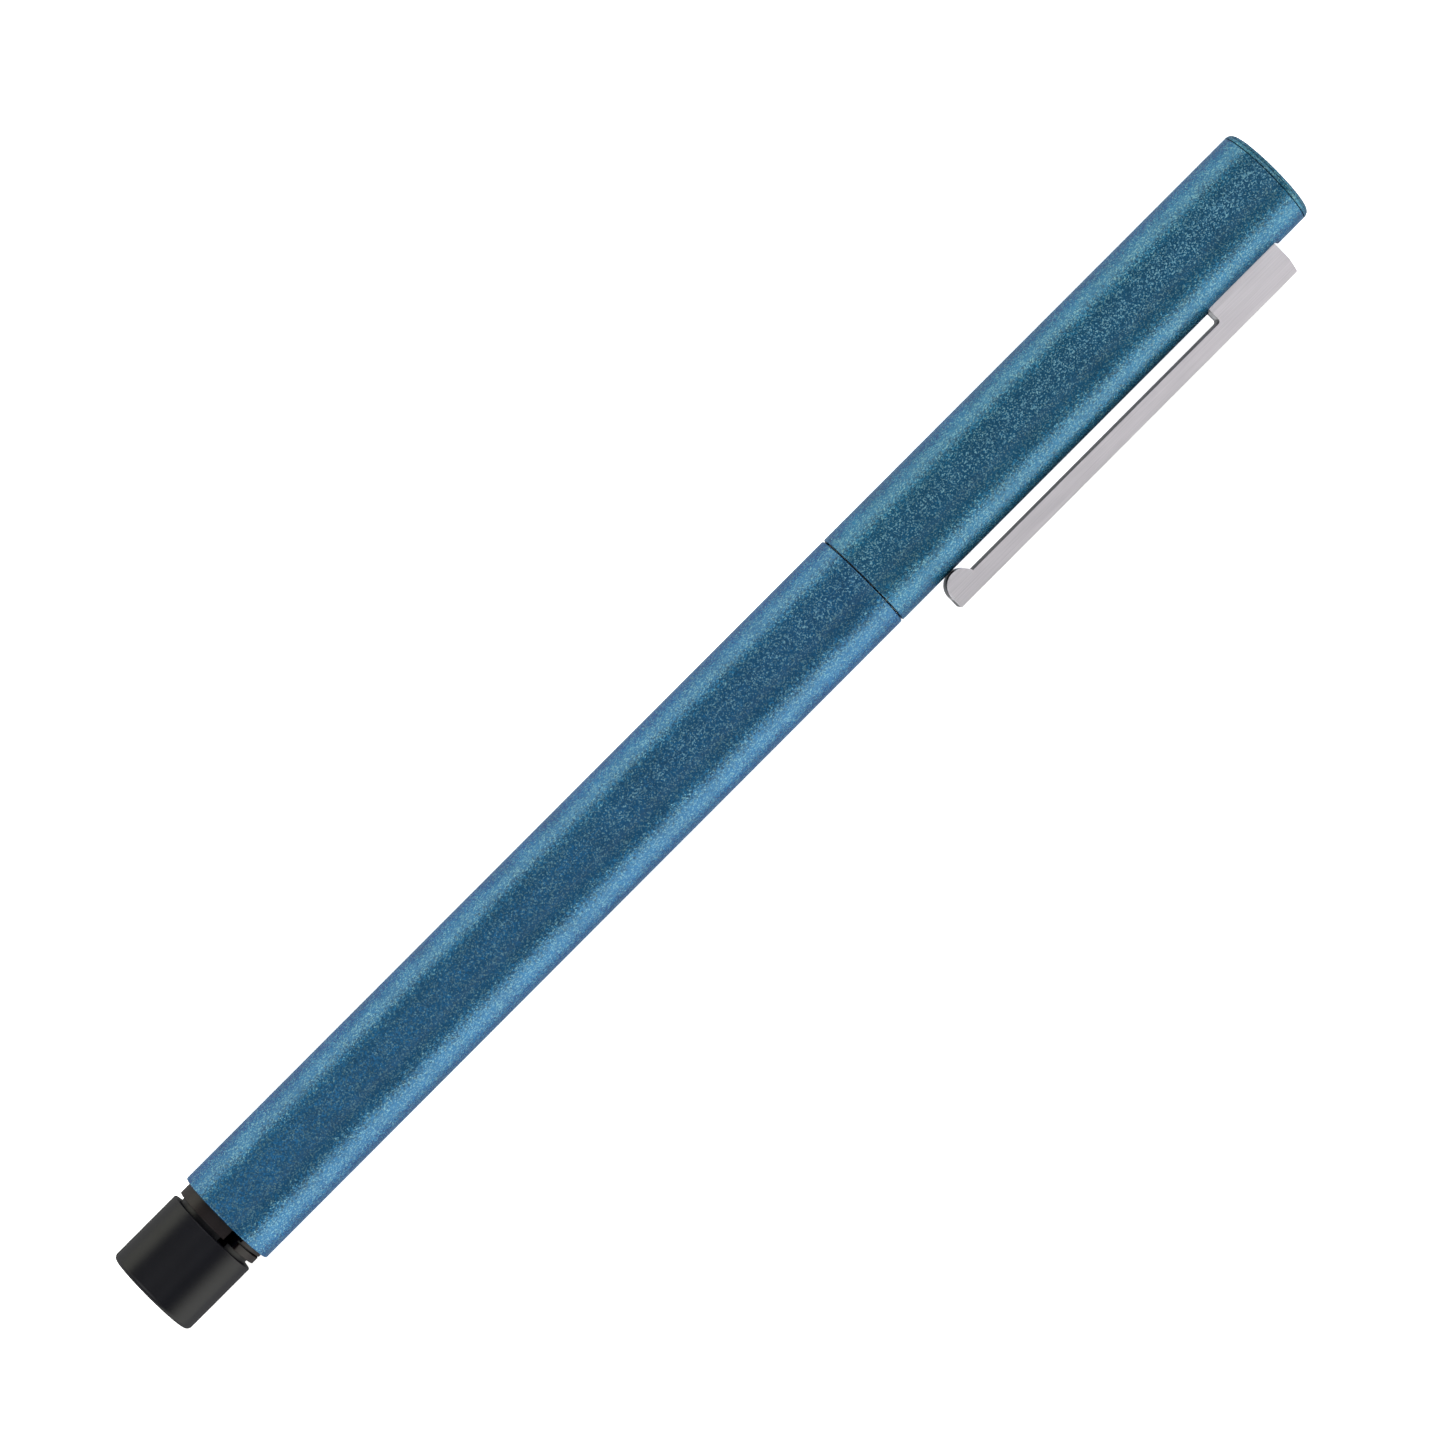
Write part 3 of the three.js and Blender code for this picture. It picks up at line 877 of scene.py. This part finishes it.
# ---- cap -----------------------------------------------------------------------------------------
class PEN_OT_cap_tube(PenOperator):
    """Make the painted cap tube, with the round-cornered slot that the clip comes out of"""

    bl_idname = "pen.cap_tube"
    bl_label = "Cap tube"

    def execute(self, context):
        sizes = context.scene.pen_sizes
        start, end = span("cap_tube")
        outer, bore = sizes.tube_radius, sizes.cap_bore
        piece = turned("cap", sleeve(start, end, bore, outer))
        wall_middle = (outer + bore) / 2
        round_edges(piece, 0.13 * MM, 5, lambda p: radius_of(p) > wall_middle and p.x < start + 1 * MM)
        round_edges(piece, 0.05 * MM, 2, lambda p: radius_of(p) > wall_middle and p.x > end - 1 * MM)
        cut_away(piece, self.slot_cutter(sizes))
        settle(piece, "cap", "cap_tube", pearl_lacquer("cap_paint"))
        return {"FINISHED"}

    def slot_cutter(self, sizes):
        clip_end = span("clip")[1]
        low, high = clip_end - 8.02 * MM, clip_end + 0.42 * MM
        half = sizes.clip_thickness / 2 + CLIP_PLAY
        cutter = box_cutter((low, -6 * MM, -half), (high, -3 * MM, half))
        round_edges(cutter, 0.45 * MM, 8, lambda p: abs(p.y + 4.5 * MM) < 0.1 * MM)
        return cutter


class PEN_OT_cap_end_disc(PenOperator):
    """Make the painted disc that closes the cap, with its round shoulder and the spigot inside the tube"""

    bl_idname = "pen.cap_end_disc"
    bl_label = "Cap end disc"

    def execute(self, context):
        sizes = context.scene.pen_sizes
        start, end = span("cap_end_disc")
        face = span("cap_tube")[1] + 0.07 * MM
        outer, spigot = sizes.tube_radius, sizes.cap_bore - FIT
        profile = [(start, 0), (start, spigot), (face, spigot), (face, outer)]
        corner, steps, groove_step, groove = 0.6 * MM, 16, 5, 0.06 * MM
        for step in range(steps + 1):
            turn = math.radians(90 * step / steps)
            reach = end - corner + corner * math.sin(turn)
            width = outer - corner + corner * math.cos(turn)
            profile.append((reach, width - groove if step == groove_step else width))
        piece = turned("cap_disc", profile + [(end, 0)])
        settle(piece, "cap", "cap_end_disc", pearl_lacquer("disc_tint"))
        return {"FINISHED"}


class PEN_OT_inner_cap(PenOperator):
    """Make the liner that leaves the cap's mouth open and closes in on the drawing point"""

    bl_idname = "pen.inner_cap"
    bl_label = "Inner cap"

    def execute(self, context):
        start, end = span("inner_cap")
        outer, mouth, well = context.scene.pen_sizes.cap_bore - FIT, 4.05 * MM, 1.9 * MM
        floor = end - 1 * MM
        profile = [
            (end, 0),
            (end, outer),
            (start, outer),
            (start, mouth),
            (start + 6 * MM, mouth),
            (start + 11.5 * MM, 3.6 * MM),
            (start + 18 * MM, well),
            (floor, well),
            (floor, 0),
        ]
        piece = turned("cap_liner", profile, 96)
        round_edges(piece, 0.12 * MM, 2, lambda p: p.x < start + 1 * MM)
        settle(piece, "cap", "inner_cap", black())
        return {"FINISHED"}


class PEN_OT_seal(PenOperator):
    """Make the rubber plug that closes the drawing tube, and its spring"""

    bl_idname = "pen.seal"
    bl_label = "Seal plug and spring"

    def execute(self, context):
        start, end = span("seal_plug")
        lip = start + 0.25 * MM
        rim = 1.72 * MM
        profile = [
            (lip, 0),
            (lip, 0.5 * MM),
            (start, 0.75 * MM),
            (lip, 1.4 * MM),
            (lip + 0.25 * MM, rim),
            (end, rim),
            (end, 0),
        ]
        plug = turned("seal", profile, 64)
        round_edges(plug, 0.08 * MM, 2)
        settle(plug, "seal", "seal_plug", eroded_plastic("rubber"))
        spring_start, spring_end = span("seal_spring")
        spring = coil("seal_coil", spring_start, spring_end, 1.2 * MM, 0.12 * MM, 3)
        settle(spring, "cap", "seal_spring", spring_steel())
        return {"FINISHED"}


class PEN_OT_clip_carrier(PenOperator):
    """Make the block in the cap's end that holds the clip, with its pocket, spring well and pin hole"""

    bl_idname = "pen.clip_carrier"
    bl_label = "Clip carrier"

    def execute(self, context):
        sizes = context.scene.pen_sizes
        start, end = span("clip_carrier")
        clip_end = span("clip")[1]
        outer, half = sizes.cap_bore - FIT, sizes.clip_thickness / 2 + CLIP_PLAY
        piece = turned("clip_block", rod(start, end, outer), 96)
        round_edges(piece, 0.2 * MM, 2)
        low, high = clip_end - 8.25 * MM, clip_end + 0.72 * MM
        cut_away(piece, box_cutter((low, -6 * MM, -half), (high, 1.2 * MM, half)))
        low, high = span("clip_spring")
        cut_away(piece, drill(0.85 * MM, 3 * MM, ((low + high) / 2, 2.2 * MM, 0), (QUARTER_TURN, 0, 0)))
        cut_away(piece, pivot_rod(0.63 * MM, 12 * MM))
        settle(piece, "cap", "clip_carrier", black())
        return {"FINISHED"}


class PEN_OT_clip_pin(PenOperator):
    """Make the clip's pivot pin and the spring that presses the clip down"""

    bl_idname = "pen.clip_pin"
    bl_label = "Clip pin and spring"

    def execute(self, context):
        pin = pivot_rod(0.6 * MM, 7.2 * MM)
        pin.name = pin.data.name = "pivot_pin"
        round_edges(pin, 0.15 * MM, 3)
        settle(pin, "cap", "clip_pin", spring_steel())
        low, high = span("clip_spring")
        spring = coil("clip_coil", 0.98 * MM, 3.62 * MM, 0.55 * MM, 0.12 * MM, 4)
        spring.rotation_euler.z = QUARTER_TURN
        spring.location.x = (low + high) / 2
        select_only(spring)
        bake_place()
        settle(spring, "cap", "clip_spring", spring_steel())
        return {"FINISHED"}


class PEN_OT_clip(PenOperator):
    """Make the steel clip: a round lobe on the tube, a straight bar and the root that goes into the cap"""

    bl_idname = "pen.clip"
    bl_label = "Clip"

    def execute(self, context):
        sizes = context.scene.pen_sizes
        tip, root_end = span("clip")
        root_start = root_end - 7.9 * MM
        outer, inner, lobe = -sizes.clip_outer, -sizes.clip_inner, sizes.clip_lobe
        lobe_x = tip + lobe
        lobe_y = -(sizes.tube_radius + FIT + lobe)
        meet_x = lobe_x + math.sqrt(lobe**2 - (inner - lobe_y) ** 2)
        piece = self.half_lobe(lobe_x, lobe_y, meet_x, lobe)
        self.pull_edges(piece, lambda p: abs(p.y - lobe_y) < HAIR, (0, outer - lobe_y, 0))
        self.pull_edges(piece, lambda p: abs(p.x - meet_x) < HAIR, (root_start - meet_x, 0, 0))
        self.pull_edges(piece, lambda p: abs(p.x - root_start) < HAIR, (root_end - root_start, 0, 0))
        rise = 0.9 * MM - inner
        self.pull_edges(piece, lambda p: abs(p.y - inner) < HAIR and p.x > root_start - HAIR, (0, rise, 0))
        self.slope_the_end(piece, root_end, outer)
        self.thicken(piece, sizes.clip_thickness)
        near = 0.1 * MM
        round_edges(piece, 0.3 * MM, 6, lambda p: math.hypot(p.x - root_start, p.y - inner) < near)
        round_edges(piece, 0.12 * MM, 4, lambda p: abs(p.y - outer) < near and abs(p.z) < near)
        cut_away(piece, pivot_rod(0.68 * MM, 12 * MM))
        round_edges(piece, 0.04 * MM, 2, lambda p: p.y < -4.5 * MM)
        settle(piece, "clip", "clip", brushed_steel())
        return {"FINISHED"}

    def half_lobe(self, x, y, meet_x, lobe):
        """The round end's outline above its middle, cut off where the bar's inner face meets it."""
        clear_selection()
        bpy.ops.mesh.primitive_circle_add(vertices=128, radius=lobe, fill_type="NGON", location=(x, y, 0))
        piece = bpy.context.object
        piece.name = piece.data.name = "steel_clip"
        bake_place()
        bpy.ops.object.mode_set(mode="EDIT")
        for point, normal in (((x, y, 0), (0, 1, 0)), ((meet_x, y, 0), (-1, 0, 0))):
            bpy.ops.mesh.select_all(action="SELECT")
            bpy.ops.mesh.bisect(plane_co=point, plane_no=normal, clear_inner=True, threshold=1e-7)
        bpy.ops.object.mode_set(mode="OBJECT")
        return piece

    def pull_edges(self, piece, is_here, move):
        """Extrude the open edges whose two ends are at a place."""
        mesh = open_mesh(piece, "EDGE")
        found = 0
        for edge in mesh.edges:
            if edge.is_boundary and all(is_here(corner.co) for corner in edge.verts):
                edge.select_set(True)
                found += 1
        bmesh.update_edit_mesh(piece.data)
        if found == 0:
            raise RuntimeError("the clip's outline has no edge to pull here")
        bpy.ops.mesh.extrude_region_move(TRANSFORM_OT_translate={"value": move})
        tidy_mesh()

    def slope_the_end(self, piece, root_end, outer):
        """Lean the end face over, so that the clip is a little shorter at its outer edge."""
        mesh = open_mesh(piece, "VERT")
        for vert in mesh.verts:
            is_corner = abs(vert.co.x - root_end) < HAIR and abs(vert.co.y - outer) < HAIR
            vert.select_set(is_corner)
        bmesh.update_edit_mesh(piece.data)
        bpy.ops.transform.translate(value=(-0.25 * MM, 0, 0))
        bpy.ops.object.mode_set(mode="OBJECT")

    def thicken(self, piece, thickness):
        """Join the outline's faces into a plate of the clip's thickness, evenly about its middle."""
        select_only(piece)
        bpy.ops.object.mode_set(mode="EDIT")
        bpy.ops.mesh.select_all(action="SELECT")
        bpy.ops.mesh.dissolve_limited(angle_limit=math.radians(1))
        bpy.ops.mesh.select_all(action="SELECT")
        bpy.ops.transform.translate(value=(0, 0, -thickness / 2))
        bpy.ops.mesh.extrude_region_move(TRANSFORM_OT_translate={"value": (0, 0, thickness)})
        tidy_mesh()


# ---- stage ---------------------------------------------------------------------------------------
class PEN_OT_stage(PenOperator):
    """Make the pale floor, the soft studio light and the camera"""

    bl_idname = "pen.stage"
    bl_label = "Stage"

    def execute(self, context):
        self.make_camera(context)
        self.make_floor()
        self.make_light(context)
        return {"FINISHED"}

    def view_axes(self):
        """From the pen to the camera, along the pen as it is seen, and across it towards the far side."""
        tilt, past_square = 0.024, math.radians(3.7)
        back = Vector((-tilt, math.sin(past_square), math.cos(past_square))).normalized()
        turn, rise = math.cos(ROLL), math.sin(ROLL)
        back = Vector((back.x, back.y * turn - back.z * rise, back.y * rise + back.z * turn))
        along = (Vector((1, 0, 0)) - back * back.x).normalized()
        return back, along, back.cross(along)

    def make_camera(self, context):
        """A long lens, so that the view is nearly flat, turned so that the pen climbs to the right."""
        distance = 0.609
        back, along, across = self.view_axes()
        aim = Vector((TAIL + 68.2 * MM, AXIS_Y, AXIS_Z)) - across * 0.09 * MM
        slant = math.radians(45.05)
        right = along * math.cos(slant) - across * math.sin(slant)
        up = along * math.sin(slant) + across * math.cos(slant)
        data = bpy.data.cameras.new("camera")
        data.lens = 179.4
        data.sensor_width = 36.0
        data.clip_start = 0.01
        camera = bpy.data.objects.new("camera", data)
        context.collection.objects.link(camera)
        turn = Matrix((right, up, back)).transposed().to_4x4()
        camera.matrix_world = Matrix.Translation(aim + back * distance) @ turn
        context.scene.camera = camera

    def make_floor(self):
        clear_selection()
        bpy.ops.mesh.primitive_plane_add(size=4)
        floor = bpy.context.object
        floor.name = "floor"
        pale = bpy.context.scene.pen_colours.floor
        shader = {"Base Color": pale, "Roughness": 0.9, "Emission Color": pale, "Emission Strength": 1.0}
        material, tree, principled, place = new_material("lit_white_acrylic", shader)
        mottle = node(tree, "ShaderNodeTexNoise", {"Scale": 8.0}, {"Vector": place})
        rough = ranged(tree, mottle.outputs["Fac"], 0.0, 1.0, 0.85, 0.95)
        tree.links.new(rough, principled.inputs["Roughness"])
        floor.data.materials.append(material)

    def soft_box(self, name, direction, distance, rise, reach, radiance, tint=(1, 1, 1)):
        """An area light facing the pen: its size up from the floor and level, and how bright it looks."""
        data = bpy.data.lights.new(name, "AREA")
        data.shape = "RECTANGLE"
        data.size, data.size_y = rise, reach
        data.energy = radiance * math.pi * rise * reach
        data.color = tint
        box = bpy.data.objects.new(name, data)
        bpy.context.collection.objects.link(box)
        box.location = Vector(direction).normalized() * distance
        box.rotation_euler = Vector(direction).to_track_quat("Z", "X").to_euler()
        box.visible_camera = False
        return box

    def make_light(self, context):
        """A dim cool room with a long warm box low on each side and a warm strip in the table by the clip.

        Two strips hang beside the camera and a box past each end.
        """
        scene = context.scene
        scene.view_settings.view_transform = "Standard"
        scene.world = scene.world or bpy.data.worlds.new("studio")
        scene.world.use_nodes = True
        background = scene.world.node_tree.nodes["Background"]
        background.inputs["Color"].default_value = (0.84, 0.95, 1, 1)
        background.inputs["Strength"].default_value = 0.15
        warm = (1, 1, 0.84)
        self.soft_box("far_box", (0, 0.93, 0.37), 0.6, 0.4, 1.2, 3.1, warm)
        self.soft_box("near_box", (0, -0.998, 0.06), 0.6, 0.07, 1.2, 2.8, warm)
        table_strip = self.soft_box("table_strip", (0, 0, -1), 0.0, 0.052, 0.6, 1.8, warm)
        table_strip.location = (0, -34 * MM, CAD_BOX[0].z + 0.2 * MM)
        table_strip.rotation_euler = (2 * QUARTER_TURN, 0, QUARTER_TURN)
        back = self.view_axes()[0]
        seen_from = math.atan2(back.y, back.z)
        for side, radiance in ((-1, 0.95), (1, 0.36)):
            angle = seen_from + side * math.radians(19)
            self.soft_box(f"strip_{side}", (0, math.sin(angle), math.cos(angle)), 0.45, 0.11, 1.2, radiance)
            self.soft_box(f"end_box_{side}", (side * 0.64, 0, 0.77), 0.8, 0.6, 0.8, 2.5)


# ---- add-on --------------------------------------------------------------------------------------
MAKERS = (
    PEN_OT_stage,
    PEN_OT_barrel_tube,
    PEN_OT_end_plug,
    PEN_OT_snap_collar,
    PEN_OT_barrel_bush,
    PEN_OT_width_ring,
    PEN_OT_grip_section,
    PEN_OT_snap_ring,
    PEN_OT_drawing_point,
    PEN_OT_weight,
    PEN_OT_cartridge,
    PEN_OT_cap_tube,
    PEN_OT_cap_end_disc,
    PEN_OT_inner_cap,
    PEN_OT_seal,
    PEN_OT_clip_carrier,
    PEN_OT_clip_pin,
    PEN_OT_clip,
)


class PEN_PT_pieces(bpy.types.Panel):
    """The pen's pieces, sizes and colours."""

    bl_idname = "PEN_PT_pieces"
    bl_label = "Technical pen"
    bl_space_type = "VIEW_3D"
    bl_region_type = "UI"
    bl_category = "Pen"

    def draw(self, context):
        for group in (context.scene.pen_sizes, context.scene.pen_colours):
            column = self.layout.column(align=True)
            for name in group.__annotations__:
                column.prop(group, name)
        for maker in MAKERS:
            self.layout.operator(maker.bl_idname)


CLASSES = (PenSizes, PenColours, *MAKERS, PEN_PT_pieces)


def register():
    for each in CLASSES:
        bpy.utils.register_class(each)
    bpy.types.Scene.pen_sizes = PointerProperty(type=PenSizes)
    bpy.types.Scene.pen_colours = PointerProperty(type=PenColours)


def unregister():
    del bpy.types.Scene.pen_colours
    del bpy.types.Scene.pen_sizes
    for each in reversed(CLASSES):
        bpy.utils.unregister_class(each)


def main():
    register()
    for maker in MAKERS:
        group, action = maker.bl_idname.split(".")
        getattr(getattr(bpy.ops, group), action)()


if __name__ == "__main__":
    main()
